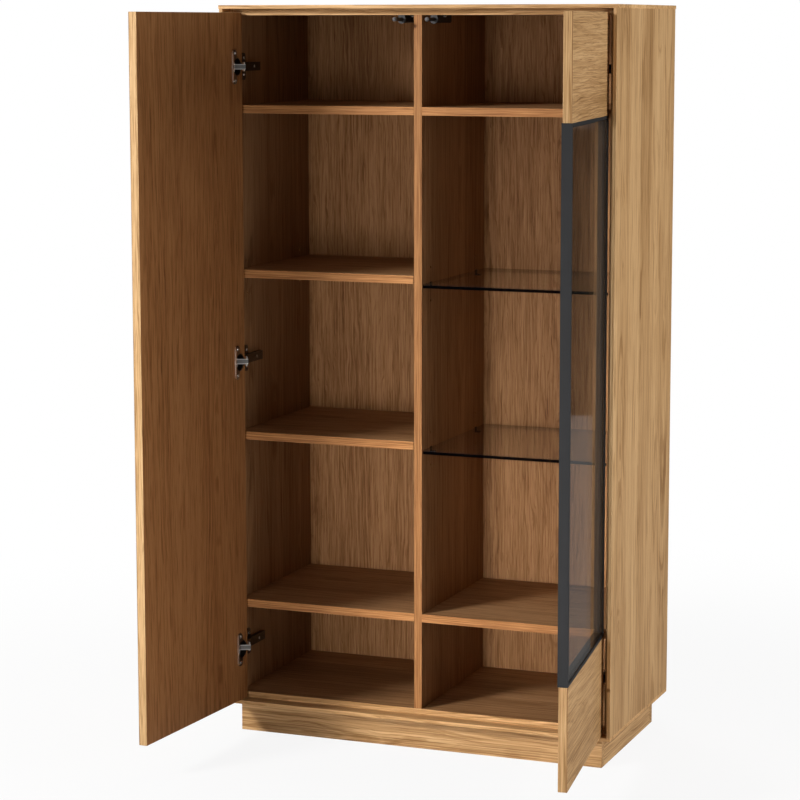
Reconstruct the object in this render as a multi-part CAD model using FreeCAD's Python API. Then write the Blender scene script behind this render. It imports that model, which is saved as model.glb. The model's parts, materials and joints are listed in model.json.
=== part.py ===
import FreeCAD
import Part
import math
import os

os.makedirs("parts", exist_ok=True)

# Oak display cabinet: two columns of shelves behind one oak door and one door with a glass middle.
# Millimetres. X runs left to right, Y front to back, Z up.
# The origin is the middle of the plinth, on the floor.
# Both doors are drawn standing open, each turned about its hinge axis from the closed place.

# Carcase
cabinet_width = 796.0
cabinet_height = 1434.0
cabinet_depth = 397.0
panel_thickness = 19.0
lip_thickness = 7.0
recess_depth = 29.0
top_overhang = 1.5
eased_edge = 0.6
door_eased_edge = 1.0

# Inner boards
partition_thickness = 16.0
shelf_thickness = 16.0
inner_setback = 1.0
back_thickness = 5.0
back_inset = 9.0
back_groove_depth = 6.0
groove_clearance = 0.2

# Plinth
plinth_height = 59.0
plinth_board = 16.0
plinth_side_inset = 23.0
plinth_end_inset = 25.0
corner_block = 30.0
corner_block_drop = 8.0

# Shelves
end_compartment = 172.0
low_compartment_extra = 17.0
loose_shelf_gap = 1.0
shelf_rear_gap = 2.0
glass_shelf_thickness = 8.0
glass_shelf_gap = 2.0

# Shelf supports
pin_radius = 2.5
pin_hole_depth = 7.0
pin_reach = 8.0
pin_hole_spacing = 32.0
pin_front_distance = 78.0
pin_row_distance = 256.0
seat_clearance = 0.1
support_width = 9.0
support_plate = 1.4
support_tongue = 2.4
glass_below_pin = 4.5

# Wooden dowels
dowel_radius = 4.0
dowel_in_board = 11.0
dowel_in_end = 20.0
dowel_edge_distance = 60.0
plinth_dowel_rise = 5.0

# Doors
door_thickness = 17.0
door_gap = 3.0
door_top_gap = 7.0
door_bottom_gap = 2.0
left_door_angle = 94.1
right_door_angle = 97.7

# Right door's black frame and pane
oak_end_height = 188.0
frame_depth = 19.0
frame_lip = 6.0
frame_width = 8.5
pane_thickness = 4.0
pane_setback = 1.5
pane_clearance = 0.5
seal_thickness = 1.5
seal_width = 2.0
steel_dowel_radius = 3.0
steel_dowel_in_oak = 24.0
steel_dowel_edge_distance = 70.0

# Hinges. The axis lies inside the cup, behind the door's outer face.
hinge_axis_inset = 16.5
hinge_axis_depth = 7.5
hinge_end_distance = 103.5
cup_radius = 17.4
cup_wall = 1.0
cup_depth = 14.3
cup_clearance = 0.1
cup_edge_distance = 4.6
cup_rim = 0.8
flange_length = 66.0
flange_width = 16.0
flange_thickness = 2.4
flange_offset = 9.5
cup_screw_spacing = 52.0
hinge_pin_radius = 1.8
hinge_pin_clearance = 0.05
hinge_pin_end_gap = 0.1
knuckle_wall = 1.3
neck_angle = 30.0
neck_overlap_angle = 3.0
shoulder_angle = 14.0
neck_height = 10.0
arm_sheet = 2.4
arm_bend_gap = 1.5
arm_height = 17.0
arm_length = 96.0
arm_wall = 1.5
plate_thickness = 2.0
plate_rail_height = 5.6
plate_rail_length = 60.0
plate_wing_length = 52.0
plate_wing_width = 16.0
plate_setback = 37.0
plate_screw_spacing = 32.0
arm_clearance = 0.2

# Screws
screw_radius = 1.75
screw_length = 12.0
screw_head_radius = 3.6
screw_head_height = 1.6

# Push latches
latch_offset = 32.5
latch_body_length = 78.0
latch_body_width = 13.0
latch_axis_drop = 8.2
latch_collar_radius = 8.0
latch_collar_length = 4.0
latch_ear_length = 9.0
latch_ear_thickness = 2.5
latch_ear_distance = 30.0
plunger_radius = 3.6
plunger_clearance = 0.1
plunger_reach = 40.0
plunger_in_housing = 34.0
plunger_end_wall = 3.0
tip_radius = 4.2

# Allowance for telling one edge from another
tiny = 0.01

# Places worked out from the sizes
half_width = cabinet_width / 2
front = -cabinet_depth / 2
rear = cabinet_depth / 2
inner_half = half_width - panel_thickness
lip_half = half_width - lip_thickness
recess = front + recess_depth
inner_front = recess + inner_setback
floor_face = plinth_height + panel_thickness
ceiling = cabinet_height - panel_thickness
back_front = rear - back_inset - back_thickness
groove_front = back_front - groove_clearance
groove_rear = back_front + back_thickness + groove_clearance
shelf_rear = back_front - shelf_rear_gap
half_partition = partition_thickness / 2
top_shelf_face = ceiling - end_compartment
low_shelf_face = floor_face + end_compartment + shelf_thickness
shelf_pitch = (top_shelf_face - low_shelf_face - low_compartment_extra) / 3
loose_faces = [top_shelf_face - shelf_pitch, top_shelf_face - 2 * shelf_pitch]
pin_heights = [face - shelf_thickness - pin_radius - seat_clearance for face in loose_faces]
pin_depths = [front + pin_front_distance, front + pin_front_distance + pin_row_distance]
dowel_depths = [inner_front + dowel_edge_distance, shelf_rear - dowel_edge_distance]

door_width = (2 * lip_half - 3 * door_gap) / 2
door_bottom = plinth_height + lip_thickness + door_bottom_gap
door_top = cabinet_height - lip_thickness - door_top_gap
door_edge = lip_half - door_gap
hinge_x = door_edge - hinge_axis_inset
hinge_y = front + hinge_axis_depth
end_hinges = [door_bottom + hinge_end_distance, door_top - hinge_end_distance]
left_hinge_heights = [end_hinges[1], (door_bottom + door_top) / 2, end_hinges[0]]
right_hinge_heights = [end_hinges[1], end_hinges[0]]
plunger_tip_front = recess - plunger_reach
latch_height = ceiling - latch_axis_drop


def vec(x, y, z):
    return FreeCAD.Vector(x, y, z)


def box(x0, x1, y0, y1, z0, z1):
    corner = vec(min(x0, x1), min(y0, y1), min(z0, z1))
    return Part.makeBox(abs(x1 - x0), abs(y1 - y0), abs(z1 - z0), corner)


def rod(radius, start, end):
    way = end.sub(start)
    return Part.makeCylinder(radius, way.Length, start, way)


def eased_board(x0, x1, y0, y1, z0, z1, radius=eased_edge):
    board = box(x0, x1, y0, y1, z0, z1)
    return board.makeFillet(radius, board.Edges)


def ease_where(shape, wanted):
    edges = [edge for edge in shape.Edges if wanted(edge.BoundBox)]
    return shape.makeFillet(eased_edge, edges)


def cut_all(shape, tools):
    return shape.cut(tools) if tools else shape


def save(name, shapes):
    group = shapes if isinstance(shapes, list) else [shapes]
    solids = [solid for shape in group for solid in shape.Solids]
    result = solids[0] if len(solids) == 1 else Part.makeCompound(solids)
    result.exportStep("parts/" + name + ".step")


def mirrored(shape):
    return shape.mirror(vec(0, 0, 0), vec(1, 0, 0))


def opened(shape, side):
    """Turn a piece of a closed door about its hinge axis: side -1 is the left door, 1 the right."""
    angle = right_door_angle if side > 0 else -left_door_angle
    turned = shape.copy()
    turned.rotate(vec(side * hinge_x, hinge_y, 0), vec(0, 0, 1), angle)
    return turned


# Dowels: each is a straight rod, and every board that it enters is drilled to its size
def side_dowels():
    rods = []
    for face in [top_shelf_face, low_shelf_face]:
        height = face - shelf_thickness / 2
        for depth in dowel_depths:
            for side in [-1, 1]:
                start = vec(side * (inner_half + dowel_in_board), depth, height)
                end = vec(side * (inner_half - dowel_in_end), depth, height)
                rods.append(rod(dowel_radius, start, end))
            reach = half_partition + dowel_in_end
            rods.append(rod(dowel_radius, vec(-reach, depth, height), vec(reach, depth, height)))
    return rods


def corner_dowels():
    rods = []
    half_tongue = (panel_thickness - lip_thickness) / 2
    for level in [floor_face - half_tongue, ceiling + half_tongue]:
        for depth in dowel_depths:
            for side in [-1, 1]:
                start = vec(side * (inner_half + dowel_in_board), depth, level)
                end = vec(side * (inner_half - dowel_in_end), depth, level)
                rods.append(rod(dowel_radius, start, end))
    return rods


def upright_dowels():
    rods = []
    for depth in dowel_depths:
        rods.append(rod(dowel_radius, vec(0, depth, ceiling - dowel_in_end),
                        vec(0, depth, ceiling + dowel_in_board)))
        rods.append(rod(dowel_radius, vec(0, depth, floor_face - dowel_in_board),
                        vec(0, depth, floor_face + dowel_in_end)))
    return rods


def plinth_dowels():
    rods = []
    side_place = half_width - plinth_side_inset - plinth_board / 2
    end_place = rear - plinth_end_inset - plinth_board / 2
    places = []
    for side in [-1, 1]:
        places += [(side * side_place, side * dowel_edge_distance), (side * side_place / 2, -end_place)]
        places += [(side * side_place / 2, end_place), (0, side * dowel_edge_distance)]
    for x, y in places:
        rods.append(rod(dowel_radius, vec(x, y, plinth_height - dowel_in_end),
                        vec(x, y, plinth_height + plinth_dowel_rise)))
    return rods


def shelf_pin_holes(wall, way):
    """Pin holes in an upright whose face is at X = wall; way is -1 to the left, 1 to the right."""
    holes = []
    for height in pin_heights:
        for step in [-1, 0, 1]:
            for depth in pin_depths:
                level = height + step * pin_hole_spacing
                start = vec(wall, depth, level)
                end = vec(wall + way * pin_hole_depth, depth, level)
                holes.append(rod(pin_radius, start, end))
    return holes


# Screws: a straight shank under a rounded head, pointing along the given way
def screw(place, way):
    shank = Part.makeCylinder(screw_radius, screw_length, place, way)
    head = Part.makeCylinder(screw_head_radius, screw_head_height, place, way.negative())
    rim = [edge for edge in head.Edges
           if abs(edge.CenterOfMass.sub(place).dot(way) + screw_head_height) < tiny]
    head = head.makeFillet(screw_head_height / 2, rim)
    return shank.fuse(head)


def pilot(place, way):
    return Part.makeCylinder(screw_radius, screw_length, place, way)


# Places of the hinge plate screws and the latch screws in the cabinet
plate_screw_places = []
for hinge_side, heights in [(-1, left_hinge_heights), (1, right_hinge_heights)]:
    for hinge_height in heights:
        for hand in [-1, 1]:
            x = hinge_side * (inner_half - plate_thickness)
            z = hinge_height + hand * plate_screw_spacing / 2
            plate_screw_places.append((hinge_side, vec(x, recess + plate_setback, z)))
latch_screw_places = []
for latch_side in [-1, 1]:
    for hand in [-1, 1]:
        x = latch_side * latch_offset + hand * (latch_body_width + latch_ear_length) / 2
        latch_screw_places.append(vec(x, recess + latch_ear_distance, ceiling - latch_ear_thickness))


# Side panels: stand between the top and bottom boards, full thickness behind the recess,
# a thin lip in front of it
def side_panel(side):
    base = plinth_height + lip_thickness
    head = cabinet_height - lip_thickness
    wall = box(inner_half, half_width, recess, rear, base, head)
    lip = box(lip_half, half_width, front, recess, base, head)
    panel = wall.fuse(lip).removeSplitter()
    panel = ease_where(panel, lambda b: b.YMax < front + tiny and b.ZLength > panel_thickness)
    groove = box(inner_half, inner_half + back_groove_depth, groove_front, groove_rear, base, head)
    tools = [groove] + shelf_pin_holes(inner_half, 1)
    tools += side_dowels() + corner_dowels()
    for place_side, place in plate_screw_places:
        if place_side == side:
            tools.append(pilot(vec(abs(place.x), place.y, place.z), vec(1, 0, 0)))
    panel = cut_all(panel, tools)
    return panel if side > 0 else mirrored(panel)


save("left_side_panel", side_panel(-1))
save("right_side_panel", side_panel(1))


# Top panel: lies over both sides, thinned to the lip in front and at both ends
def top_panel():
    half = half_width + top_overhang
    cover = box(-half, half, front, rear, cabinet_height - lip_thickness, cabinet_height)
    tongue = box(-inner_half, inner_half, recess, rear, ceiling, cabinet_height - lip_thickness)
    panel = ease_where(cover, lambda b: True).fuse(tongue).removeSplitter()
    groove_end = ceiling + back_groove_depth
    groove = box(-inner_half, inner_half, groove_front, groove_rear, ceiling, groove_end)
    tools = [groove] + corner_dowels() + upright_dowels()
    tools += [pilot(place, vec(0, 0, 1)) for place in latch_screw_places]
    return cut_all(panel, tools)


save("top_panel", top_panel())


# Bottom panel: carries both sides, thinned to the lip in front and at both ends
def bottom_panel():
    cover = box(-half_width, half_width, front, rear, plinth_height, plinth_height + lip_thickness)
    tongue = box(-inner_half, inner_half, recess, rear, plinth_height + lip_thickness, floor_face)
    panel = ease_where(cover, lambda b: True).fuse(tongue).removeSplitter()
    groove_end = floor_face - back_groove_depth
    groove = box(-inner_half, inner_half, groove_front, groove_rear, groove_end, floor_face)
    return cut_all(panel, [groove] + corner_dowels() + upright_dowels() + plinth_dowels())


save("bottom_panel", bottom_panel())


# Back panel: a thin sheet held in grooves all round
def back_panel():
    reach = back_groove_depth - groove_clearance
    return box(-inner_half - reach, inner_half + reach, back_front, back_front + back_thickness,
               floor_face - reach, ceiling + reach)


save("back_panel", back_panel())


# Partition: divides the two columns, drilled from both faces for shelf pins
def centre_partition():
    board = box(-half_partition, half_partition, inner_front, back_front, floor_face, ceiling)
    board = ease_where(board, lambda b: b.YMax < inner_front + tiny and b.ZLength > panel_thickness)
    tools = shelf_pin_holes(-half_partition, 1) + shelf_pin_holes(half_partition, -1)
    return cut_all(board, tools + side_dowels() + upright_dowels())


save("centre_partition", centre_partition())


# Plinth: four boards set in from the outline, a rail under the partition and glued blocks in the corners
plinth_half = half_width - plinth_side_inset
plinth_front = front + plinth_end_inset
plinth_rear = rear - plinth_end_inset
inner_plinth_half = plinth_half - plinth_board
inner_plinth_front = plinth_front + plinth_board
inner_plinth_rear = plinth_rear - plinth_board
half_rail = plinth_board / 2


def plinth_piece(x0, x1, y0, y1):
    board = box(x0, x1, y0, y1, 0, plinth_height)
    board = ease_where(board, lambda b: b.ZLength > plinth_height / 2)
    return cut_all(board, plinth_dowels())


save("plinth_front_board", plinth_piece(-plinth_half, plinth_half, plinth_front, inner_plinth_front))
save("plinth_rear_board", plinth_piece(-plinth_half, plinth_half, inner_plinth_rear, plinth_rear))
for side, name in [(-1, "left"), (1, "right")]:
    inner = side * inner_plinth_half
    board = plinth_piece(inner, side * plinth_half, inner_plinth_front, inner_plinth_rear)
    save("plinth_" + name + "_board", board)
save("plinth_centre_rail", plinth_piece(-half_rail, half_rail, inner_plinth_front, inner_plinth_rear))


def corner_blocks():
    blocks = []
    for side in [-1, 1]:
        for end in [-1, 1]:
            x = side * inner_plinth_half
            y = end * inner_plinth_rear
            blocks.append(box(x, x - side * corner_block, y, y - end * corner_block,
                              corner_block_drop, plinth_height))
    return blocks


save("plinth_corner_blocks", corner_blocks())


# Oak shelves: the fixed ones are doweled tight, the loose ones lie on pins
def fixed_shelf(side, face):
    inner = side * half_partition
    outer = side * inner_half
    board = eased_board(inner, outer, inner_front, shelf_rear, face - shelf_thickness, face)
    return cut_all(board, side_dowels())


def loose_shelf(face):
    inner = -half_partition - loose_shelf_gap
    outer = -inner_half + loose_shelf_gap
    return eased_board(inner, outer, inner_front, shelf_rear, face - shelf_thickness, face)


save("left_top_shelf", fixed_shelf(-1, top_shelf_face))
save("left_upper_shelf", loose_shelf(loose_faces[0]))
save("left_lower_shelf", loose_shelf(loose_faces[1]))
save("left_bottom_shelf", fixed_shelf(-1, low_shelf_face))
save("right_top_shelf", fixed_shelf(1, top_shelf_face))
save("right_bottom_shelf", fixed_shelf(1, low_shelf_face))


# Smoked glass shelves on small metal supports
def glass_shelf(pin_height):
    base = pin_height - glass_below_pin
    inner = half_partition + glass_shelf_gap
    outer = inner_half - glass_shelf_gap
    return eased_board(inner, outer, inner_front, shelf_rear, base, base + glass_shelf_thickness)


save("upper_glass_shelf", glass_shelf(pin_heights[0]))
save("lower_glass_shelf", glass_shelf(pin_heights[1]))


# Round pins for the loose oak shelves
def shelf_pins():
    pins = []
    for height in pin_heights:
        for depth in pin_depths:
            for wall, way in [(-inner_half, 1), (-half_partition, -1)]:
                start = vec(wall - way * pin_hole_depth, depth, height)
                pins.append(rod(pin_radius, start, vec(wall + way * pin_reach, depth, height)))
    return pins


save("shelf_pins", shelf_pins())


# Glass supports: a plug in the pin hole, a plate against the wall and a tongue under the glass
def glass_supports():
    supports = []
    for height in pin_heights:
        seat = height - glass_below_pin - seat_clearance
        low = seat - support_tongue
        high = height + pin_radius + support_plate
        for depth in pin_depths:
            y0 = depth - support_width / 2
            y1 = depth + support_width / 2
            for wall, way in [(half_partition, 1), (inner_half, -1)]:
                start = vec(wall - way * pin_hole_depth, depth, height)
                plug = rod(pin_radius, start, vec(wall, depth, height))
                plate = box(wall, wall + way * support_plate, y0, y1, low, high)
                tongue = box(wall, wall + way * (glass_shelf_gap + pin_reach), y0, y1, low, seat)
                supports.append(plug.fuse([plate, tongue]).removeSplitter())
    return supports


save("glass_shelf_supports", glass_supports())
save("wooden_dowels", side_dowels() + corner_dowels() + upright_dowels() + plinth_dowels())


# Hinges, drawn for a left door with the axis at the origin:
# the side panel lies to the left, the room in front
cup_centre = cup_edge_distance + cup_radius + cup_clearance - hinge_axis_inset
door_inner = door_thickness - hinge_axis_depth
wall_face = door_gap + hinge_axis_inset + lip_thickness - panel_thickness
door_reach = math.hypot(hinge_axis_inset, door_inner)
bend_inner = door_reach + arm_bend_gap
bend_outer = bend_inner + arm_sheet
recess_line = recess_depth - hinge_axis_depth
knuckle_radius = hinge_pin_radius + hinge_pin_clearance + knuckle_wall
web_inner = plate_thickness + plate_rail_height + arm_clearance - wall_face
web_outer = web_inner + arm_sheet
pin_half = math.sqrt(cup_radius ** 2 - (cup_centre + hinge_pin_radius) ** 2) - hinge_pin_end_gap
backward = vec(0, 1, 0)


def cup_bore():
    radius = cup_radius + cup_clearance
    depth = cup_depth + cup_clearance
    return Part.makeCylinder(radius, depth, vec(cup_centre, door_inner - depth, 0), backward)


def cup_screw_places():
    x = cup_centre + flange_offset
    return [vec(x, door_inner + flange_thickness, hand * cup_screw_spacing / 2) for hand in [-1, 1]]


def hinge_pin():
    return rod(hinge_pin_radius, vec(0, 0, -pin_half), vec(0, 0, pin_half))


def hinge_cup():
    body = Part.makeCylinder(cup_radius, cup_depth, vec(cup_centre, door_inner - cup_depth, 0), backward)
    rim = Part.makeCylinder(cup_radius + cup_rim, cup_rim, vec(cup_centre, door_inner, 0), backward)
    x = cup_centre + flange_offset
    straight = flange_length - flange_width
    flange = box(x - flange_width / 2, x + flange_width / 2, door_inner, door_inner + flange_thickness,
                 -straight / 2, straight / 2)
    ends = [Part.makeCylinder(flange_width / 2, flange_thickness, vec(x, door_inner, z), backward)
            for z in [-straight / 2, straight / 2]]
    cup = body.fuse([rim, flange] + ends).removeSplitter()
    hollow = Part.makeCylinder(cup_radius - cup_wall, cup_depth + flange_thickness,
                               vec(cup_centre, door_inner - cup_depth + cup_wall, 0), backward)
    holes = [pilot(place, backward.negative()) for place in cup_screw_places()]
    return cut_all(cup, [hollow, hinge_pin()] + holes)


def bend(inner, outer, start, end, height):
    """A curved strip around the axis between two directions, centred on the hinge's height."""
    def at(radius, angle):
        turn = math.radians(angle)
        return vec(radius * math.cos(turn), radius * math.sin(turn), -height / 2)

    middle = (start + end) / 2
    edges = [Part.Arc(at(inner, start), at(inner, middle), at(inner, end)).toShape(),
             Part.makeLine(at(inner, end), at(outer, end)),
             Part.Arc(at(outer, end), at(outer, middle), at(outer, start)).toShape(),
             Part.makeLine(at(outer, start), at(inner, start))]
    return Part.Face(Part.Wire(edges)).extrude(vec(0, 0, height))


def hinge_arm():
    half_neck = neck_height / 2
    knuckle = rod(knuckle_radius, vec(0, 0, -half_neck), vec(0, 0, half_neck))
    neck_end = bend_inner + arm_sheet / 2
    neck = box(0, neck_end, -arm_sheet / 2, arm_sheet / 2, -half_neck, half_neck)
    neck.rotate(vec(0, 0, 0), vec(0, 0, 1), neck_angle)
    meeting = math.degrees(math.acos((web_inner + web_outer) / 2 / bend_outer))
    crook = bend(bend_inner, bend_outer, neck_angle - neck_overlap_angle, meeting, neck_height)
    shoulder = bend(bend_inner, bend_outer, neck_angle + shoulder_angle, meeting, arm_height)
    start = math.sqrt(bend_inner ** 2 - web_inner ** 2)
    end = recess_line + arm_length
    web = box(web_inner, web_outer, start, end, -arm_height / 2, arm_height / 2)
    wall_start = recess_line + 2 * arm_wall
    base = arm_clearance + plate_thickness - wall_face
    cheeks = [box(base, web_outer, wall_start, end, hand - arm_wall / 2, hand + arm_wall / 2)
              for hand in [-(arm_height - arm_wall) / 2, (arm_height - arm_wall) / 2]]
    arm = knuckle.fuse([neck, crook, shoulder, web] + cheeks).removeSplitter()
    bore = rod(hinge_pin_radius + hinge_pin_clearance, vec(0, 0, -arm_height), vec(0, 0, arm_height))
    return arm.cut(bore)


def hinge_plate():
    screw_line = recess_line + plate_setback
    face = plate_thickness - wall_face
    half_wing = plate_wing_width / 2
    wing = box(-wall_face, face, screw_line - half_wing, screw_line + half_wing,
               -plate_wing_length / 2, plate_wing_length / 2)
    corners = [edge for edge in wing.Edges if edge.BoundBox.XLength > plate_thickness / 2]
    wing = wing.makeFillet(plate_wing_width / 3, corners)
    half_length = plate_rail_length / 2
    half_height = arm_height / 2 - arm_wall - arm_clearance
    rail = box(-wall_face, face + plate_rail_height, screw_line - half_length, screw_line + half_length,
               -half_height, half_height)
    plate = wing.fuse(rail).removeSplitter()
    holes = []
    for z in [-plate_screw_spacing / 2, plate_screw_spacing / 2]:
        holes.append(rod(screw_radius, vec(-wall_face, screw_line, z), vec(face, screw_line, z)))
    return cut_all(plate, holes)


def at_hinge(shape, side, height):
    """Put a hinge piece at its place on the left or the right of the cabinet, door closed."""
    piece = shape.copy()
    piece.translate(vec(-hinge_x, hinge_y, height))
    return piece if side < 0 else mirrored(piece)


left_levels = ["top", "middle", "bottom"]
right_levels = ["top", "bottom"]
for side, word in [(-1, "left"), (1, "right")]:
    pins = []
    screws = []
    levels = zip(left_levels, left_hinge_heights) if side < 0 else zip(right_levels, right_hinge_heights)
    for level, height in levels:
        stem = word + "_" + level + "_hinge_"
        save(stem + "cup", opened(at_hinge(hinge_cup(), side, height), side))
        save(stem + "arm", at_hinge(hinge_arm(), side, height))
        save(stem + "plate", at_hinge(hinge_plate(), side, height))
        pins.append(opened(at_hinge(hinge_pin(), side, height), side))
        for place in cup_screw_places():
            fixing = screw(place, backward.negative())
            screws.append(opened(at_hinge(fixing, side, height), side))
    save(word + "_hinge_pins", pins)
    save(word + "_cup_screws", screws)

cabinet_screws = [screw(place, vec(hinge_side, 0, 0)) for hinge_side, place in plate_screw_places]
cabinet_screws += [screw(place, vec(0, 0, 1)) for place in latch_screw_places]
save("cabinet_screws", cabinet_screws)


# Doors, drawn closed on the left and mirrored for the right
def door_board(side, z0, z1, heights):
    free = door_width - door_edge
    board = eased_board(-door_edge, free, front, front + door_thickness, z0, z1, door_eased_edge)
    bores = [cup_bore()] + [pilot(place, backward.negative()) for place in cup_screw_places()]
    tools = [at_hinge(bore, -1, height) for height in heights for bore in bores]
    board = cut_all(board, tools)
    return board if side < 0 else mirrored(board)


save("left_door_panel", opened(door_board(-1, door_bottom, door_top, left_hinge_heights), -1))

frame_bottom = door_bottom + oak_end_height
frame_top = door_top - oak_end_height
free_edge = door_edge - door_width


def steel_dowels():
    rods = []
    for x in [free_edge + steel_dowel_edge_distance, door_edge - steel_dowel_edge_distance]:
        y = front + door_thickness / 2
        rods.append(rod(steel_dowel_radius, vec(x, y, frame_bottom - steel_dowel_in_oak),
                        vec(x, y, frame_bottom + frame_lip / 2)))
        rods.append(rod(steel_dowel_radius, vec(x, y, frame_top - frame_lip / 2),
                        vec(x, y, frame_top + steel_dowel_in_oak)))
    return rods


upper_board = door_board(1, frame_top, door_top, right_hinge_heights[:1])
lower_board = door_board(1, door_bottom, frame_bottom, right_hinge_heights[1:])
save("right_door_top_panel", opened(cut_all(upper_board, steel_dowels()), 1))
save("right_door_bottom_panel", opened(cut_all(lower_board, steel_dowels()), 1))
save("right_door_steel_dowels", [opened(piece, 1) for piece in steel_dowels()])


# Black frame: each member is a flat bar on edge with a narrow ledge behind the pane
flange_front = front + pane_setback + pane_thickness + seal_thickness
flange_rear = front + frame_depth - eased_edge


def frame_stile(edge, way):
    lip = box(edge, edge + way * frame_lip, front, front + frame_depth, frame_bottom, frame_top)
    lip = ease_where(lip, lambda b: b.ZLength > frame_depth)
    flange = box(edge + way * frame_lip / 2, edge + way * frame_width, flange_front, flange_rear,
                 frame_bottom, frame_top)
    return lip.fuse(flange).removeSplitter()


def frame_rail(edge, way):
    """A rail runs between the stiles: its lip between their lips, its flange between their flanges."""
    lip = box(free_edge + frame_lip, door_edge - frame_lip, front, flange_front,
              edge, edge + way * frame_lip)
    flange = box(free_edge + frame_width, door_edge - frame_width, flange_front, flange_rear,
                 edge, edge + way * frame_width)
    return cut_all(lip.fuse(flange).removeSplitter(), steel_dowels())


save("right_door_free_stile", opened(frame_stile(free_edge, 1), 1))
save("right_door_hinge_stile", opened(frame_stile(door_edge, -1), 1))
save("right_door_bottom_rail", opened(frame_rail(frame_bottom, 1), 1))
save("right_door_top_rail", opened(frame_rail(frame_top, -1), 1))


# Smoked pane: set in from the frame's lips, against seal strips on the flanges
pane_left = free_edge + frame_lip + pane_clearance
pane_right = door_edge - frame_lip - pane_clearance
pane_bottom = frame_bottom + frame_lip + pane_clearance
pane_top = frame_top - frame_lip - pane_clearance


def pane():
    y0 = front + pane_setback
    return box(pane_left, pane_right, y0, y0 + pane_thickness, pane_bottom, pane_top)


def seal_strips():
    y0 = front + pane_setback + pane_thickness
    y1 = y0 + seal_thickness
    inner_left = pane_left + seal_width
    inner_right = pane_right - seal_width
    return [box(pane_left, inner_left, y0, y1, pane_bottom, pane_top),
            box(inner_right, pane_right, y0, y1, pane_bottom, pane_top),
            box(inner_left, inner_right, y0, y1, pane_bottom, pane_bottom + seal_width),
            box(inner_left, inner_right, y0, y1, pane_top - seal_width, pane_top)]


save("right_door_glass", opened(pane(), 1))
save("right_door_seal", [opened(strip, 1) for strip in seal_strips()])


# Push latches: a housing screwed under the top, a plunger that stands out while its door is open
def latch_housing(side):
    x = side * latch_offset
    half = latch_body_width / 2
    body = box(x - half, x + half, recess, recess + latch_body_length, latch_height - half, ceiling)
    body = body.makeFillet(half / 2, [edge for edge in body.Edges if edge.BoundBox.YLength > half
                                      and edge.BoundBox.ZMax < latch_height])
    mouth = vec(x, recess, latch_height)
    collar = Part.makeCylinder(latch_collar_radius, latch_collar_length, mouth, backward)
    ear_half = half + latch_ear_length
    ears = box(x - ear_half, x + ear_half, recess + latch_ear_distance - latch_ear_length / 2,
               recess + latch_ear_distance + latch_ear_length / 2, ceiling - latch_ear_thickness, ceiling)
    housing = body.fuse([collar, ears]).removeSplitter()
    bore_length = latch_body_length - plunger_end_wall
    bore = Part.makeCylinder(plunger_radius + plunger_clearance, bore_length, mouth, backward)
    holes = [pilot(place, vec(0, 0, 1)) for place in latch_screw_places]
    return cut_all(housing, [bore] + holes)


def plunger(side):
    x = side * latch_offset
    start = vec(x, plunger_tip_front + tip_radius, latch_height)
    shaft = rod(plunger_radius, start, vec(x, recess + plunger_in_housing, latch_height))
    return shaft.cut(plunger_tip(side))


def plunger_tip(side):
    place = vec(side * latch_offset, plunger_tip_front + tip_radius, latch_height)
    return Part.makeSphere(tip_radius, place)


for side, word in [(-1, "left"), (1, "right")]:
    save(word + "_latch_housing", latch_housing(side))
    save(word + "_latch_plunger", plunger(side))
    save(word + "_latch_tip", plunger_tip(side))
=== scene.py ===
import json
import math

import bpy
from mathutils import Matrix, Vector


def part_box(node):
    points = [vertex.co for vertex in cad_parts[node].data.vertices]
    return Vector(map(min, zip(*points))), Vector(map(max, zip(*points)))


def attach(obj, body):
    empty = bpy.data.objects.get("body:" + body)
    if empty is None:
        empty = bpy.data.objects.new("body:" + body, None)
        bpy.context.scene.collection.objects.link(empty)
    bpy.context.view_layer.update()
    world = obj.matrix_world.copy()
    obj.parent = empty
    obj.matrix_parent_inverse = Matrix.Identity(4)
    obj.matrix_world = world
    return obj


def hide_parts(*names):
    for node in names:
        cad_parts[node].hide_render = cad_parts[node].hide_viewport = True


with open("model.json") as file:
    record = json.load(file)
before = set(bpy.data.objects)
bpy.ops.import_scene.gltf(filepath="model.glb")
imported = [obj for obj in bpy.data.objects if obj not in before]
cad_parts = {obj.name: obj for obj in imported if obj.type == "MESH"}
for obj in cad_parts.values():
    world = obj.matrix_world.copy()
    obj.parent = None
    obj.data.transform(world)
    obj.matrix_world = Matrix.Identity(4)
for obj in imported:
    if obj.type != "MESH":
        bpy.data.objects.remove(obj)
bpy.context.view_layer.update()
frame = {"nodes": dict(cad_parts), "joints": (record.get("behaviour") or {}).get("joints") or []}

nodes = frame["nodes"]


# Plinth: a low frame of oak boards, set back under the cabinet, that carries its weight.
# A rail stands under the partition, and glued blocks hold the corners. The veneer's grain
# runs round it, level with the floor.
outer_dark = (0.33, 0.175, 0.063)
outer_middle = (0.53, 0.312, 0.137)
outer_pale = (0.66, 0.420, 0.203)
oak_stops = [(0.24, outer_dark), (0.50, outer_middle), (0.74, outer_pale)]
inner_tint = (0.60, 0.535, 0.53)
inner_edge_tint = (0.67, 0.485, 0.345)
dash_tint = (0.74, 0.68, 0.60)
pore_tint = (0.55, 0.47, 0.40)
glue_tint = (0.38, 0.30, 0.22)
worn_tint = (1.10, 1.11, 1.12)
to_millimetres = 1000.0
to_metres = 0.001


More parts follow.
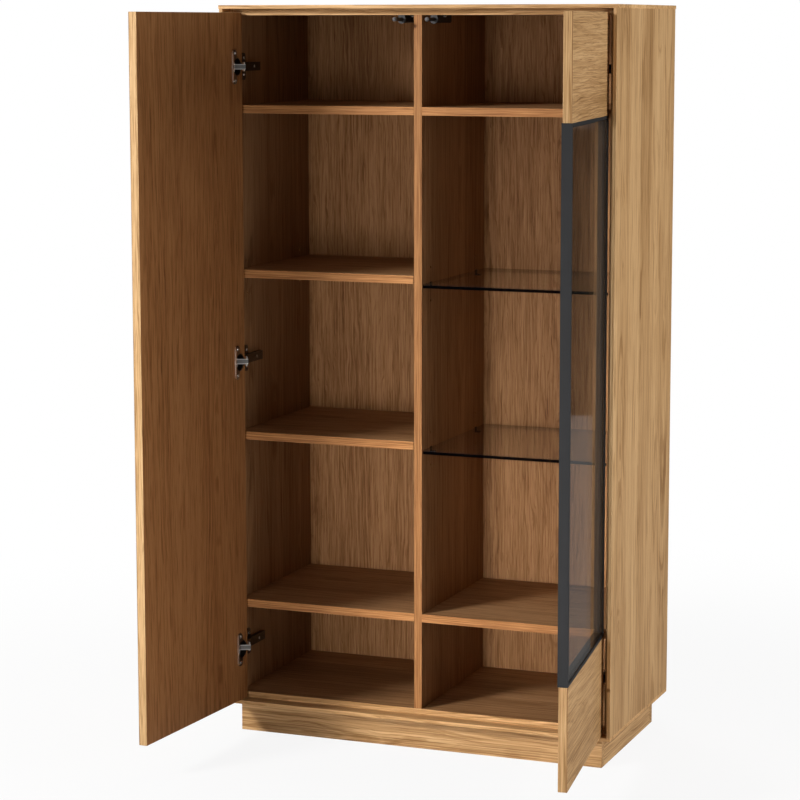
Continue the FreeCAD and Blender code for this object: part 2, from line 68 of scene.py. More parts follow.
class Wire:
    """An output socket of a node tree. Arithmetic on it adds Math nodes to the same tree."""

    def __init__(self, tree, socket):
        self.tree = tree
        self.socket = socket

    def add(self, kind, settings, sockets):
        node = self.tree.nodes.new(kind)
        for name, value in settings.items():
            if name == "stops":
                stops = node.color_ramp.elements
                while len(stops) < len(value):
                    stops.new(1.0)
                for stop, (position, colour) in zip(stops, value):
                    stop.position = position
                    stop.color = (*colour, 1.0)
            else:
                setattr(node, name, value)
        for key, value in sockets.items():
            if isinstance(value, Wire):
                self.tree.links.new(value.socket, node.inputs[key])
            else:
                node.inputs[key].default_value = value
        return Wire(self.tree, next((way for way in node.outputs if way.enabled), None))

    def out(self, name):
        return Wire(self.tree, self.socket.node.outputs[name])

    def axes(self):
        return self.add("ShaderNodeSeparateXYZ", {}, {0: self})

    def math(self, operation, *terms):
        return self.add("ShaderNodeMath", {"operation": operation}, dict(enumerate((self, *terms))))

    def __add__(self, other):
        return self.math("ADD", other)

    def __mul__(self, other):
        return self.math("MULTIPLY", other)

    def __sub__(self, other):
        return self.math("SUBTRACT", other)

    def __rsub__(self, other):
        return (self * -1.0) + other

    def __truediv__(self, other):
        return self.math("DIVIDE", other)

    __radd__ = __add__
    __rmul__ = __mul__


def new_finish(name):
    """A bare material and its Object coordinates, in metres."""
    material = bpy.data.materials.new(name)
    material.use_nodes = True
    material.node_tree.nodes.clear()
    place = material.node_tree.nodes.new("ShaderNodeTexCoord")
    return material, Wire(material.node_tree, place.outputs["Object"])


def vector(x, y, z):
    wire = next(value for value in (x, y, z) if isinstance(value, Wire))
    return wire.add("ShaderNodeCombineXYZ", {}, {0: x, 1: y, 2: z})


def noise(place, scale=1.0, detail=2.0, roughness=0.5):
    return place.add("ShaderNodeTexNoise", {}, {"Vector": place, "Scale": scale, "Detail": detail,
                                                "Roughness": roughness})


def rise(value, low, high):
    """0 below low, 1 above high, eased between; low above high turns it round."""
    if low > high:
        return 1.0 - rise(value, high, low)
    return value.add("ShaderNodeMapRange", {"interpolation_type": "SMOOTHSTEP"},
                     {"Value": value, "From Min": low, "From Max": high})


def mixed(first, second, share):
    wire = next(value for value in (first, second, share) if isinstance(value, Wire))
    first, second = [value if isinstance(value, Wire) else (*value, 1.0)
                     for value in (first, second)]
    blend = wire.add("ShaderNodeMix", {"data_type": "RGBA"}, {0: share, 6: first, 7: second})
    return blend.out(2)


def tinted(colour, tint):
    return colour.add("ShaderNodeVectorMath", {"operation": "MULTIPLY"}, {0: colour, 1: tint})


def toned(colour, tone):
    return tone.add("ShaderNodeVectorMath", {"operation": "SCALE"}, {0: colour, "Scale": tone})


def surface(place, colour, roughness, height, depth, strength=1.0, **sockets):
    bump = place.add("ShaderNodeBump", {}, {"Height": height, "Distance": depth,
                                            "Strength": strength})
    skin = {name.replace("_", " "): value for name, value in sockets.items()}
    skin.update({"Base Color": colour, "Roughness": roughness, "Normal": bump})
    shader = place.add("ShaderNodeBsdfPrincipled", {}, skin)
    place.add("ShaderNodeOutputMaterial", {}, {"Surface": shader})


def near_edges(place, low, high):
    """Distance in millimetres from the nearest straight edge of a box, for worn corners."""
    axes = place.axes()
    gaps = []
    for index, letter in enumerate("XYZ"):
        middle = (low[index] + high[index]) / 2
        half = (high[index] - low[index]) / 2
        gaps.append((half - (axes.out(letter) - middle).math("ABSOLUTE")) * to_millimetres)
    a, b, c = gaps
    return a.math("MINIMUM", b).math("MAXIMUM", a.math("MAXIMUM", b).math("MINIMUM", c))


# Places and reaches in millimetres, some as shares of a stave's width.
pith_nearest = 8.0
pith_range = 30.0
pith_aside = 1.6
pith_offset = 0.3
grain_slope = 0.07
sway_reach = 22.0
ripple_reach = 5.0
edge_ply = 1.9
edge_bow = 5.0
# Marks per millimetre along the grain and across it.
sway_marks = (0.0035, 0.012)
ripple_marks = (0.017, 0.07)
streak_marks = (0.0022, 0.06)
thread_marks = (0.014, 0.45)
fibre_marks = (0.03, 0.7)
pore_marks = (0.04, 0.85)
dash_marks = (0.018, 0.04)
cloud_marks = (0.0011, 0.013)
bow_marks = (0.004, 0.02)
strip_marks = (0.0016, 0.30)
# Shares of the figure's light and dark.
line_share = 0.50
streak_share = 0.40
thread_share = 0.85
fibre_share = 0.40
cloud_share = 0.42
edge_extra = 0.6
# Limits of a mark's fade, as values of the noise, and how far its tint counts.
pore_fade = (0.58, 0.68)
pore_lines = (0.62, 0.40)
pore_share = 0.7
dash_fade = (0.53, 0.66)
# Worn edges, in millimetres.
wear_fade = (1.8, 0.5)
wear_ragged = 1.2
wear_share = 0.8
# Knots, the glue line of an edge strip and the depth of the grain, in metres.
knot_inner = 0.0035
knot_outer = 0.0075
knot_ragged = 0.004
glue_line = 0.0011
glue_fade = (0.0007, 0.0003)
grain_depth = 0.00025
satin = 0.46


def oak(name, grain, across, box, seed, inner=None, tint=inner_tint, turn=None, stave=95.0,
        ring=5.0, wave=1.0, bold=1.0, tone=1.0, patch=0.2, short=1.0, knot=None, edging=None):
    """Oak veneer in glued staves: growth lines curve round a pith below the face, with open pores.
    stave and ring are widths in millimetres. wave is the size of the ripple, bold the contrast,
    tone the lightness, patch the difference between staves, and a low short makes long marks.
    inner is True, or the axis, place and side of the darker inner veneer, which tint colours.
    edging gives the axis, place and side of a narrow edge, the way that its strip runs and the
    axis across it. knot is a place. turn brings the place of an open door back."""
    material, place = new_finish(name)
    if turn:
        place = place.add("ShaderNodeMapping", {}, {"Vector": place, "Location": turn[0],
                                                    "Rotation": turn[1]})
    low, high = box
    axes = place.axes()

    def beyond(letter, limit, side):
        return ((axes.out(letter) - limit) * side).math("GREATER_THAN", 0.0)

    at = {}
    for index, letter in enumerate("XYZ"):
        at[letter] = (axes.out(letter) - (low[index] + high[index]) / 2) * to_millimetres
    along = at[grain]
    wide = at[across]
    deep = at[next(letter for letter in "XYZ" if letter not in grain + across)]
    if edging:
        letter, limit, side, run, cross = edging
        narrow = beyond(letter, limit, side)
        along = along * (1.0 - narrow) + at[run] * narrow
        wide = wide * (1.0 - narrow) + at[cross] * narrow
        deep = deep * (1.0 - narrow)
    # The odd multiples of seed and cell only keep boards and staves from looking alike.
    count = wide / stave + (seed * 0.37 + 20.0)
    cell = count.math("FLOOR")
    chance = cell.add("ShaderNodeTexWhiteNoise", {"noise_dimensions": "1D"},
                      {"W": cell + seed * 7.31})
    draw = chance.add("ShaderNodeSeparateColor", {}, {0: chance.out("Color")})
    aside = (count - cell - draw.out("Red") * pith_aside + pith_offset) * stave
    below = deep + (pith_nearest + pith_range * draw.out("Green"))
    reach = (aside * aside + below * below).math("SQRT")
    slope = along * ((draw.out("Blue") - 0.5) * grain_slope)

    def marks(pitch, end_shift=0.0, side_shift=0.0, shrink=1.0, **choices):
        """Noise drawn out along the grain."""
        length, width = pitch
        return noise(vector(along * (length * shrink) + end_shift, wide * width + side_shift,
                            deep * width), **choices)

    sway = marks(sway_marks, end_shift=seed * 3.1) - 0.5
    ripple = marks(ripple_marks, side_shift=seed * 1.7, detail=3.0) - 0.5
    turns = (reach + slope + sway * sway_reach + ripple * (ripple_reach * wave)) / ring + cell * 9.7
    streak = marks(streak_marks, side_shift=seed * 2.3, roughness=0.6)
    thread = marks(thread_marks, side_shift=ripple * 1.6, shrink=short, detail=1.0)
    fibre = marks(fibre_marks, shrink=short, roughness=0.6)
    if edging:
        bow, strip = [noise(vector(at[run] * length + seed, at[cross] * width, 0.0))
                      for length, width in (bow_marks, strip_marks)]
        plies = at[cross] / edge_ply + (bow - 0.5) * edge_bow
        turns = turns * (1.0 - narrow) + plies * narrow
        streak = streak * (1.0 - narrow) + strip * narrow
    lines = cell.add("ShaderNodeTexNoise", {"noise_dimensions": "1D"},
                     {"W": turns, "Scale": 1.0, "Detail": 3.0, "Roughness": 0.6})
    pores = marks(pore_marks, shrink=short, detail=1.0)
    pores = rise(pores, *pore_fade) * rise(lines, *pore_lines)
    length, width = dash_marks
    dash = noise(vector(along * (length * short), turns * 1.9 + seed, deep * width))
    dash = rise(dash, *dash_fade)
    cloud = marks(cloud_marks, side_shift=seed, detail=1.0)
    strength = narrow * edge_extra + bold if edging else bold
    band = (cloud - 0.5) * cloud_share + (draw.out("Red") - 0.5) * patch
    figure = (lines - 0.5) * line_share + (streak - 0.5) * streak_share
    figure = figure + (thread - 0.5) * thread_share + (fibre - 0.5) * fibre_share
    figure = figure * strength + band + 0.5
    colour = figure.add("ShaderNodeValToRGB", {"stops": oak_stops}, {"Fac": figure})
    if tone != 1.0:
        colour = tinted(colour, (tone, tone, tone))
    colour = mixed(colour, tinted(colour, dash_tint), dash)
    if knot:
        apart = place.add("ShaderNodeVectorMath", {"operation": "DISTANCE"}, {0: place, 1: knot})
        spot = rise(apart.out("Value") + lines * knot_ragged, knot_outer, knot_inner)
        colour = mixed(colour, tinted(colour, glue_tint), spot)
    colour = mixed(colour, tinted(colour, pore_tint), pores * pore_share)
    wear = rise(near_edges(place, low, high) + fibre * wear_ragged, *wear_fade)
    colour = mixed(colour, tinted(colour, worn_tint), wear * wear_share)
    if inner is True:
        colour = tinted(colour, mixed(tint, inner_edge_tint, narrow) if edging else tint)
    elif inner:
        colour = mixed(colour, tinted(colour, tint), beyond(*inner))
    if edging and inner is not True:
        index = "XYZ".index(cross)
        glue = at[cross] * to_metres + ((high[index] - low[index]) / 2 - glue_line)
        glue = glue.math("ABSOLUTE")
        colour = mixed(colour, tinted(colour, glue_tint), rise(glue, *glue_fade) * narrow)
    roughness = satin + fibre * 0.14 + pores * 0.18
    surface(place, colour, roughness, lines * 0.4 + fibre * 0.5 - pores, grain_depth,
            strength=0.6, Specular_IOR_Level=0.2)
    return material


def dress(node, material):
    mesh = nodes[node].data
    mesh.materials.clear()
    mesh.materials.append(material)


def dress_oak(names, grain, across, seed, **choices):
    for step, node in enumerate(names):
        dress(node, oak(node + "_oak", grain, across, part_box(node), seed + step, **choices))


plinth_veneer = {"stave": 160.0, "ring": 6.0, "bold": 1.3, "short": 0.35}
dress_oak(["plinth_front_board", "plinth_rear_board"], "X", "Z", 1.0, **plinth_veneer)
dress_oak(["plinth_left_board", "plinth_right_board"], "Y", "Z", 4.0, **plinth_veneer)
dress_oak(["plinth_centre_rail"], "Y", "Z", 6.0)
dress_oak(["plinth_corner_blocks"], "Z", "X", 7.0)


# Carcase: bottom, two sides and top, boards veneered in pale oak outside and a warmer oak inside.
# They are dowelled at the corners. The front is rebated all round, so only a thin lip stands
# round the doors.
inner_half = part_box("right_side_panel")[0][0]
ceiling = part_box("top_panel")[0][2]
floor_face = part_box("bottom_panel")[1][2]
tiny = 0.0002
level_veneer = {"tone": 1.28, "short": 0.4}
side_veneer = {"stave": 72.0, "patch": 0.24, "short": 0.35, "bold": 0.75}
lip_knot = (0.394, -0.1985, 0.159)
dress_oak(["bottom_panel"], "X", "Y", 8.0, inner=("Z", floor_face - tiny, 1), **level_veneer)
dress_oak(["left_side_panel"], "Z", "Y", 9.0, inner=("X", -inner_half - tiny, 1), **side_veneer)
dress_oak(["right_side_panel"], "Z", "Y", 12.0, inner=("X", inner_half + tiny, -1), knot=lip_knot,
          **side_veneer)
dress_oak(["top_panel"], "X", "Y", 14.0, inner=("Z", ceiling + tiny, -1), **level_veneer)


# Partition, fixed and loose shelves: flat boards faced and edged in the warmer oak.
# The fixed ones are dowelled, the loose ones lie on pins. The partition's grain stands,
# and the shelves' grain runs from side to side.
inner_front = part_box("centre_partition")[0][1]
partition_knot = (-0.006, inner_front, 1.394)
dress_oak(["centre_partition"], "Z", "Y", 15.0, inner=True, stave=130.0, ring=6.0, bold=0.9,
          short=0.5, knot=partition_knot, edging=("Y", inner_front + tiny, -1, "Z", "X"))
oak_shelves = ["left_top_shelf", "left_upper_shelf", "left_lower_shelf", "left_bottom_shelf",
               "right_top_shelf", "right_bottom_shelf"]
dress_oak(oak_shelves, "X", "Y", 17.0, inner=True, stave=130.0, short=0.5, tone=1.18,
          edging=("Y", inner_front + tiny, -1, "X", "Z"))


# Back panel: one thin sheet with oak veneer on both faces and bold standing grain.
# It is let into grooves in the sides, top and bottom.
back_tint = (0.80, 0.64, 0.53)
dress_oak(["back_panel"], "Z", "X", 26.0, inner=True, tint=back_tint, stave=150.0, wave=2.6,
          bold=1.1, short=0.7)


# Dowels: short beech rods, glued in the shelves, the carcase corners and the plinth.
# They are out of sight once the cabinet is together.
beech_dark = (0.50, 0.34, 0.19)
beech_pale = (0.66, 0.47, 0.28)


def beech(name):
    material, place = new_finish(name)
    streak = noise(place, scale=420.0, detail=3.0)
    colour = mixed(beech_dark, beech_pale, streak)
    surface(place, colour, 0.6 + streak * 0.2, streak, 0.0003)
    return material


dress("wooden_dowels", beech("beech_dowels"))


# Shelf pins: short rods of bright plated steel, pushed into drilled holes.
# The loose oak shelves lie on them.
# Pale colour for painted highlights on the hinges' edges.
painted_highlight = (0.90, 0.85, 0.80)
bright_zinc = (0.74, 0.73, 0.71)
zinc_gloss = 0.24


def metal(name, colour, roughness, bright=None, box=None):
    """Plated metal with faint cloudy polish marks and small scuffs. bright makes a mask of 0 to 1,
    from the place and a box, for painted highlights on edges that catch the light."""
    material, place = new_finish(name)
    cloud = noise(place, scale=140.0, detail=3.0, roughness=0.6)
    scuff = rise(noise(place, scale=900.0, detail=2.0), 0.58, 0.74)
    shade = toned(colour, 0.86 + cloud * 0.26 - scuff * 0.16)
    if bright:
        # Painted highlights: a pale colour mixed in where the mask marks edges that catch the
        # light.
        shade = mixed(shade, painted_highlight, bright(place.axes(), box))
    surface(place, shade, roughness + cloud * 0.06 + scuff * 0.12, cloud - scuff, 0.00008,
            Metallic=1.0)
    return material


steel = metal("bright_steel", bright_zinc, zinc_gloss)
dress("shelf_pins", steel)


# Glass shelves: two panes of smoked glass, polished all round.
# They lie on small supports of dark nickel in the side and the partition.
glass_rim = (0.004, 0.004, 0.006)
rim_skin = 0.0003
rim_drop = 0.0022
rim_cover = 0.96
shelf_glass = (0.016, 0.013, 0.012)
shelf_cover = 0.20
dark_nickel = (0.072, 0.063, 0.057)
nickel_gloss = 0.22


def smoked(name, colour, share, box=None):
    """Smoked glass that lets light through, with a faint film of dust in the finish. Where a box is
    given, the polished front edge is dark, as light leaves it after a long way in the glass."""
    material, place = new_finish(name)
    film = noise(place, scale=26.0, detail=3.0)
    streak = noise(place, scale=240.0, detail=2.0)
    cover = share + film * 0.04
    shade = (*colour, 1.0)
    rim = 0.0
    if box:
        axes = place.axes()
        rim = axes.out("Y").math("LESS_THAN", box[0][1] + rim_skin)
        rim = rim * axes.out("Z").math("LESS_THAN", box[1][2] - rim_drop)
        cover = cover + rim * (rim_cover - share)
        shade = mixed(colour, glass_rim, rim)
    surface(place, shade, 0.03 + film * 0.03, streak, 0.00001, strength=0.1, Alpha=cover,
            Metallic=rim, Specular_IOR_Level=0.5)
    return material


for node in ["upper_glass_shelf", "lower_glass_shelf"]:
    dress(node, smoked(node + "_glass", shelf_glass, shelf_cover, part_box(node)))
dress("glass_shelf_supports", metal("dark_nickel_plate", dark_nickel, nickel_gloss))


# Concealed hinges: a pressed cup in the door, a bent arm that turns in it on a pin, and a plate
# screwed to the side. All are steel plated in dark nickel, with painted highlights on edges facing
# the light.
# The cup is coloured lighter than the plate as painted light, and the arm darker as a painted dark
# reflection.
cup_nickel = (0.20, 0.175, 0.155)
arm_nickel = (0.055, 0.048, 0.043)
hinge_gloss = 0.26
# Where painted highlights on the flange's front end and the arm's edges fade in, in metres, and
# their share over the arm's whole front end.
flange_highlight_start = 0.0022
flange_highlight_end = 0.0040
link_half = 0.0056
link_highlight_start = 0.0026
link_highlight_end = 0.0014
link_highlight_floor = 0.25
hinge_levels = {"left": ["top", "middle", "bottom"], "right": ["top", "bottom"]}


def flange_highlight(axes, cup_box):
    """Painted highlight at the end of the cup's flange that is in front while the door is open."""
    front = cup_box[0][1]
    return rise(axes.out("Y"), front + flange_highlight_end, front + flange_highlight_start)


def link_highlight(axes, cup_box):
    """Painted highlight on the arm's end in front of the shelves, brightest at its upper and lower
    edges.
    """
    level = (cup_box[0][2] + cup_box[1][2]) / 2
    off = (axes.out("Z") - level).math("ABSOLUTE")
    outside = axes.out("Y").math("LESS_THAN", inner_front)
    rim = rise(off, link_half - link_highlight_start, link_half - link_highlight_end)
    return outside * (rim * (1.0 - link_highlight_floor) + link_highlight_floor)


for side, levels in hinge_levels.items():
    for level in levels:
        hinge = side + "_" + level + "_hinge_"
        cup_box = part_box(hinge + "cup")
        for piece, shade, bright in [("cup", cup_nickel, flange_highlight), ("arm", arm_nickel, link_highlight),
                                     ("plate", dark_nickel, None)]:
            node = hinge + piece
            dress(node, metal(node + "_nickel", shade, hinge_gloss, bright, cup_box))
    dress(side + "_hinge_pins", steel)


# Screws: zinc plated steel, with round heads and a cross recess. They hold the hinge plates and
# latches to the cabinet and the hinge cups to the doors, and smaller ones adjust the hinge arms.
joints = {joint["name"]: joint for joint in frame["joints"]}
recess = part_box("left_latch_housing")[0][1]
head_fall = 0.62
shank_overlap = 0.4
slot_share = 0.5
slot_level = 1.15
slot_depth = 1.5
plate_screw_back = 0.037
plate_screw_step = 0.016
plate_thickness = 0.002
adjuster_x = 0.3688
adjuster_backs = [0.018, 0.068]
cup_screw_in = 0.0151
cup_screw_back = 0.0119
cup_screw_step = 0.026
latch_screw_xs = [-0.0435, -0.0215, 0.0215, 0.0435]
latch_screw_back = 0.030
latch_flange = 0.0025


def swing(side):
    """The turn about its hinges that takes a closed door to its open place."""
    joint = joints[side + "_door_swing"]
    place = Vector(joint["pos_m"])
    turn = Matrix.Rotation(-math.radians(joint["range_deg"][0]), 4, Vector(joint["axis"]))
    return Matrix.Translation(place) @ turn @ Matrix.Translation(-place)


def screw_tree():
    tree = bpy.data.node_groups.new("screws_on_points", "GeometryNodeTree")
    sockets = tree.interface
    sockets.new_socket("Places", in_out="INPUT", socket_type="NodeSocketGeometry")
    for title in ["Head radius", "Head height", "Shank radius", "Shank length", "Recess"]:
        sockets.new_socket(title, in_out="INPUT", socket_type="NodeSocketFloat")
    sockets.new_socket("Metal", in_out="INPUT", socket_type="NodeSocketMaterial")
    sockets.new_socket("Screws", in_out="OUTPUT", socket_type="NodeSocketGeometry")
    entry = tree.nodes.new("NodeGroupInput")
    given = {socket.name: Wire(tree, socket) for socket in entry.outputs if socket.name}
    height = given["Head height"]
    blank = height.add("GeometryNodeMeshCylinder", {}, {
        "Vertices": 28, "Side Segments": 6, "Depth": height, "Radius": given["Head radius"]})
    blank = blank.add("GeometryNodeTransform", {}, {
        0: blank.out("Mesh"), "Translation": vector(0.0, 0.0, height * 0.5)})
    spot = Wire(tree, tree.nodes.new("GeometryNodeInputPosition").outputs[0])
    axes = spot.axes()
    level = axes.out("Z") / height
    narrow = (1.0 - level * level * level * head_fall).math("SQRT")
    dome = blank.add("GeometryNodeSetPosition", {}, {
        0: blank,
        "Position": vector(axes.out("X") * narrow, axes.out("Y") * narrow, axes.out("Z"))})
    shank_length = given["Shank length"]
    shank = height.add("GeometryNodeMeshCylinder", {}, {
        "Vertices": 20, "Radius": given["Shank radius"],
        "Depth": shank_length + height * shank_overlap})
    shank = shank.add("GeometryNodeTransform", {}, {
        0: shank.out("Mesh"),
        "Translation": vector(0.0, 0.0, (height * shank_overlap - shank_length) * 0.5)})
    whole = dome.add("GeometryNodeMeshBoolean", {"operation": "UNION", "solver": "EXACT"},
                     {"Mesh 2": dome})
    tree.links.new(shank.socket, whole.socket.node.inputs["Mesh 2"])
    size = given["Recess"]
    cut = whole.add("GeometryNodeMeshBoolean", {"operation": "DIFFERENCE", "solver": "EXACT"},
                    {"Mesh 1": whole})
    for length, width in [(size * 2.0, size * slot_share), (size * slot_share, size * 2.0)]:
        bar = size.add("GeometryNodeMeshCube", {}, {
            "Size": vector(length, width, height * slot_depth)})
        bar = bar.add("GeometryNodeTransform", {}, {
            0: bar.out("Mesh"), "Translation": vector(0.0, 0.0, height * slot_level)})
        tree.links.new(bar.socket, cut.socket.node.inputs["Mesh 2"])
    small = cut.add("GeometryNodeTransform", {}, {0: cut, "Scale": (to_metres,) * 3})
    way = small.add("GeometryNodeInputNamedAttribute", {"data_type": "FLOAT_VECTOR"},
                    {"Name": "way"})
    turn = way.add("FunctionNodeAlignRotationToVector", {"axis": "Z"}, {"Vector": way})
    row = small.add("GeometryNodeInstanceOnPoints", {}, {
        "Points": given["Places"], "Instance": small, "Rotation": turn})
    row = row.add("GeometryNodeRealizeInstances", {}, {0: row})
    row = row.add("GeometryNodeSetMaterial", {}, {0: row, "Material": given["Metal"]})
    row.add("NodeGroupOutput", {}, {0: row})
    return tree


def grown(name, tree, places, inputs):
    """A plain mesh object that the tree makes on places, each a point and its outward way."""
    spots = bpy.data.meshes.new(name + "_places")
    spots.from_pydata([place for place, way in places], [], [])
    ways = spots.attributes.new("way", "FLOAT_VECTOR", "POINT")
    for row, (place, way) in zip(ways.data, places):
        row.vector = way
    carrier = bpy.data.objects.new(name + "_carrier", spots)
    bpy.context.scene.collection.objects.link(carrier)
    maker = carrier.modifiers.new("maker", "NODES")
    maker.node_group = tree
    for item in tree.interface.items_tree:
        if item.in_out == "INPUT" and item.name in inputs:
            maker[item.identifier] = inputs[item.name]
    drawn = carrier.evaluated_get(bpy.context.evaluated_depsgraph_get())
    mesh = bpy.data.meshes.new_from_object(drawn)
    carrier.modifiers.remove(maker)
    bpy.data.objects.remove(carrier)
    piece = bpy.data.objects.new(name, mesh)
    bpy.context.scene.collection.objects.link(piece)
    return piece


wood_screw = {"Head radius": 3.6, "Head height": 1.6, "Shank radius": 1.75,
              "Shank length": 12.0, "Recess": 1.9, "Metal": steel}
adjuster = {"Head radius": 3.0, "Head height": 0.9, "Shank radius": 2.0,
            "Shank length": 2.0, "Recess": 1.7, "Metal": steel}
screws = screw_tree()
cabinet_places = []
adjuster_places = []
cup_places = {"left": [], "right": []}
for side, levels in hinge_levels.items():
    hand = 1 if side == "right" else -1
    inward = Vector((-hand, 0, 0))
    opened = swing(side)
    cup_way = opened.to_3x3() @ Vector((0, 1, 0))
    hinge_x, hinge_y = joints[side + "_door_swing"]["pos_m"][:2]
    for level in levels:
        low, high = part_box(side + "_" + level + "_hinge_plate")
        height = (low[2] + high[2]) / 2
        plate_x = hand * (inner_half - plate_thickness)
        for step in [-plate_screw_step, plate_screw_step]:
            spot = Vector((plate_x, recess + plate_screw_back, height + step))
            cabinet_places.append((spot, inward))
        for back in adjuster_backs:
            adjuster_places.append((Vector((hand * adjuster_x, recess + back, height)), inward))
        cup_x = hinge_x - hand * cup_screw_in
        for step in [-cup_screw_step, cup_screw_step]:
            spot = opened @ Vector((cup_x, hinge_y + cup_screw_back, height + step))
            cup_places[side].append((spot, cup_way))
for x in latch_screw_xs:
    spot = Vector((x, recess + latch_screw_back, ceiling - latch_flange))
    cabinet_places.append((spot, Vector((0, 0, -1))))
for name, body, places, screw, stood_for in [
        ("plate_and_latch_screws", "cabinet", cabinet_places, wood_screw, "cabinet_screws"),
        ("hinge_adjusters", "cabinet", adjuster_places, adjuster, None),
        ("left_hinge_screws", "left_door", cup_places["left"], wood_screw, "left_cup_screws"),
        ("right_hinge_screws", "right_door", cup_places["right"], wood_screw, "right_cup_screws")]:
    piece = grown(name, screws, places, screw)
    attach(piece, body)
    if stood_for:
        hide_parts(stood_for)


# Left door: one oak panel with pale veneer outside and at the edges, and the warmer oak on its
# inner face. Its grain stands, and it hangs on three hinges.
# A redder, darker copy of the inner oak's tint for this door's inner face: painted shade.
left_inner_shaded_tint = (0.58, 0.41, 0.295)


def closed_turn(side):
    """Mapping values that bring an open door's coordinates back to the closed place."""
    back = swing(side).inverted()
    return back.to_translation(), back.to_euler()


def closed_box(side, node):
    """A door panel's lowest and highest corners while the door is closed."""
    back = swing(side).inverted()
    corners = [back @ vertex.co for vertex in nodes[node].data.vertices]
    return [[end(corner[index] for corner in corners) for index in range(3)] for end in (min, max)]


low, high = closed_box("left", "left_door_panel")
dress("left_door_panel", oak(
    "left_door_oak", "Z", "X", (low, high), 31.0, inner=("Y", high[1] - tiny, 1),
    tint=left_inner_shaded_tint, turn=closed_turn("left"), stave=125.0, ring=6.0, short=0.7,
    edging=("X", high[0] - tiny, 1, "Z", "Y")))


# Right door: two oak ends with level grain, joined by a black metal frame that holds a pane of
# smoked glass on a rubber seal. Steel dowels tie the oak to the frame, and it hangs on two hinges.
pane_glass = (0.024, 0.021, 0.016)
pane_cover = 0.39
coat_black = (0.024, 0.024, 0.025)
rubber_black = (0.012, 0.012, 0.012)
for name, seed in [("right_door_top_panel", 33.0), ("right_door_bottom_panel", 36.0)]:
    low, high = closed_box("right", name)
    dress(name, oak(
        name + "_oak", "X", "Z", (low, high), seed, inner=("Y", high[1] - tiny, 1),
        turn=closed_turn("right"), stave=230.0, ring=3.4, wave=1.2, bold=0.9, short=0.5,
        edging=("X", low[0] + tiny, -1, "Z", "Y")))


def powder_coat(name, colour):
    """Matt powder coat with a fine orange-peel and slightly rubbed patches."""
    material, place = new_finish(name)
    peel = noise(place, scale=1600.0, detail=2.0)
    patch = noise(place, scale=22.0, detail=2.0)
    shade = toned(colour, 0.82 + patch * 0.36)
    surface(place, shade, 0.46 + patch * 0.14, peel, 0.00006, strength=0.5,
            Specular_IOR_Level=0.2)
    return material


black_coat = powder_coat("black_powder_coat", coat_black)
for piece in ["free_stile", "hinge_stile", "top_rail", "bottom_rail"]:
    dress("right_door_" + piece, black_coat)
dress("right_door_seal", powder_coat("seal_rubber", rubber_black))
dress("right_door_steel_dowels", steel)
dress("right_door_glass", smoked("smoked_door_glass", pane_glass, pane_cover))


# Push latches: dark moulded plastic housings screwed under the top, with a paler ring at the mouth.
# Each has a dark plunger with a pale ball tip that stands out while its door is open.
latch_dark = (0.012, 0.0115, 0.012)
latch_ring = (0.035, 0.033, 0.033)
latch_rod = (0.014, 0.014, 0.015)
latch_pale = (0.13, 0.125, 0.125)
ring_depth = 0.0016


def moulded(name, colour, ring=None):
    """Moulded plastic with a fine grit and slightly uneven colour. ring colours the mouth."""
    material, place = new_finish(name)
    grit = noise(place, scale=1500.0, detail=2.0)
    patch = noise(place, scale=60.0, detail=2.0)
    shade = toned(colour, 0.85 + patch * 0.3)
    if ring:
        axes = place.axes()
        shade = mixed(shade, ring, axes.out("Y").math("LESS_THAN", recess + ring_depth))
    surface(place, shade, 0.45 + grit * 0.12, grit, 0.00005, strength=0.5, Specular_IOR_Level=0.25)
    return material


dark_plastic = moulded("dark_latch_plastic", latch_dark, ring=latch_ring)
rod_plastic = moulded("dark_rod_plastic", latch_rod)
pale_plastic = moulded("pale_latch_plastic", latch_pale)
for side in ["left", "right"]:
    dress(side + "_latch_housing", dark_plastic)
    dress(side + "_latch_plunger", rod_plastic)
    dress(side + "_latch_tip", pale_plastic)


# Studio: a plain white floor that keeps the soft shadow and fades to white away from the cabinet.
# A large soft lamp stands at the front left and one at the right. Weak lamps with grids in front
# reach into the bays, one behind lights the back and one overhead the top.
white = (1.0, 1.0, 1.0, 1.0)
floor_grey = (0.80, 0.80, 0.80, 1.0)
floor_half = 30.0
shadow_share = 0.10
shadow_near = 0.7
shadow_far = 2.0
sheet_end = 4.2
mirrored_floor = 0.27
ambient = 0.08


def backdrop_rays(wire):
    """1 for rays that should see the white backdrop: the camera's, also through glass."""
    way = Wire(wire.tree, wire.tree.nodes.new("ShaderNodeLightPath").outputs[0])
    return way.math("MAXIMUM", way.out("Is Transmission Ray"))


def studio_floor():
    """White for the camera, with a share of real shadow near the cabinet. Reflections see it
    dimmed, as far as the end of the sheet."""
    material, place = new_finish("studio_floor")
    away = place.add("ShaderNodeVectorMath", {"operation": "LENGTH"}, {0: place})
    far = rise(away.out("Value"), shadow_near, shadow_far)
    matt = place.add("ShaderNodeBsdfDiffuse", {}, {"Color": floor_grey})
    way = Wire(place.tree, place.tree.nodes.new("ShaderNodeLightPath").outputs[0])
    mirrored = way.out("Is Glossy Ray")
    axes = place.axes()
    on_sheet = axes.out("Y").math("LESS_THAN", sheet_end)
    glow = place.add("ShaderNodeEmission", {}, {
        "Color": white, "Strength": 1.0 - mirrored * (1.0 - on_sheet * mirrored_floor)})
    share = backdrop_rays(place) * ((1.0 - shadow_share) + far * shadow_share)
    share = share.math("MAXIMUM", mirrored)
    both = place.add("ShaderNodeMixShader", {}, {0: share, 1: matt, 2: glow})
    place.add("ShaderNodeOutputMaterial", {}, {"Surface": both})
    return material


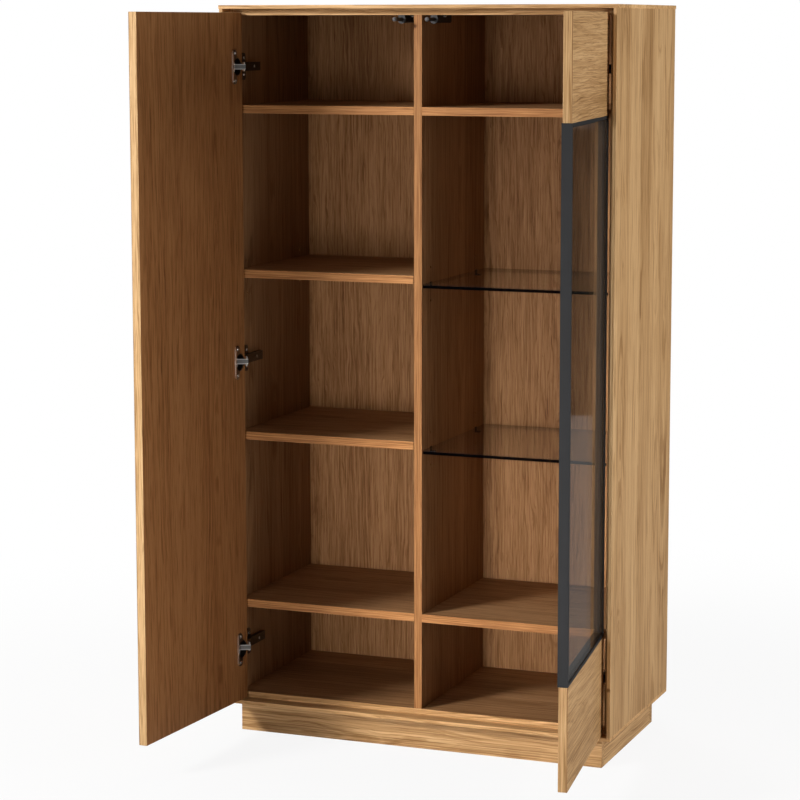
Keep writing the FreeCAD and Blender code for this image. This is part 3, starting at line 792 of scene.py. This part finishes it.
floor_mesh = bpy.data.meshes.new("studio_floor")
floor_mesh.from_pydata([(-floor_half, -floor_half, 0), (floor_half, -floor_half, 0),
                        (floor_half, floor_half, 0), (-floor_half, floor_half, 0)],
                       [], [(0, 1, 2, 3)])
floor = bpy.data.objects.new("studio_floor", floor_mesh)
floor_mesh.materials.append(studio_floor())
bpy.context.scene.collection.objects.link(floor)

world = bpy.data.worlds.new("studio")
world.use_nodes = True
world.node_tree.nodes.clear()
sky = Wire(world.node_tree, None)
glow = sky.add("ShaderNodeBackground", {}, {
    "Color": white, "Strength": backdrop_rays(sky) * (1.0 - ambient) + ambient})
sky.add("ShaderNodeOutputWorld", {}, {"Surface": glow})
bpy.context.scene.world = world


def lamp(name, place, target, power, across, spread=180.0):
    """A round soft lamp, power in watts; a small spread in degrees is a grid over it."""
    light = bpy.data.lights.new(name, "AREA")
    light.energy = power
    light.spread = math.radians(spread)
    light.shape = "DISK"
    light.size = across
    stand = bpy.data.objects.new(name, light)
    stand.location = place
    stand.rotation_euler = (Vector(target) - Vector(place)).to_track_quat("-Z", "Y").to_euler()
    bpy.context.scene.collection.objects.link(stand)


fill_x = -0.14
bay_x = -0.02
fill_y = -3.6
fill_across = 0.6
fill_grid = 34.0
bay_grid = 16.0
lamp("front_left_lamp", (-2.1, -3.2, 2.3), (0.0, -0.1, 0.6), 140.0, 0.9)
for name, height, power in [("low", 0.40, 0.95), ("middle", 0.90, 0.44), ("high", 1.30, 0.15)]:
    lamp(name + "_fill_lamp", (fill_x, fill_y, height), (0.0, 0.0, height), power, fill_across,
         spread=fill_grid)
lamp("low_bay_lamp", (bay_x, fill_y, 0.42), (0.17, 0.0, 0.25), 0.40, fill_across, spread=bay_grid)
lamp("middle_bay_lamp", (bay_x, fill_y, 0.95), (0.17, 0.0, 0.75), 0.10, fill_across,
     spread=bay_grid)
lamp("right_lamp", (3.4, -0.4, 1.2), (0.4, 0.0, 0.75), 64.0, 1.6)
lamp("rear_lamp", (-1.7, 2.8, 0.9), (0.0, 0.1, 0.8), 55.0, 1.0)
lamp("overhead_lamp", (0.0, 0.8, 4.2), (0.0, 0.0, 1.4), 26.0, 1.2)


# Camera: a long lens at the cabinet's right front, just below the height of its top.
# The small shift only sets the framing.
camera = bpy.data.cameras.new("camera")
camera.sensor_width = 36.0
camera.lens = 113.73
camera.shift_x = -0.0247
camera.shift_y = -0.0440
camera_place = bpy.data.objects.new("camera", camera)
camera_place.location = (1.7205, -4.6353, 1.3942)
camera_place.rotation_euler = (math.radians(82.367), 0.0, math.radians(21.023))
bpy.context.scene.collection.objects.link(camera_place)
bpy.context.scene.camera = camera_place
bpy.context.scene.view_settings.view_transform = "Standard"
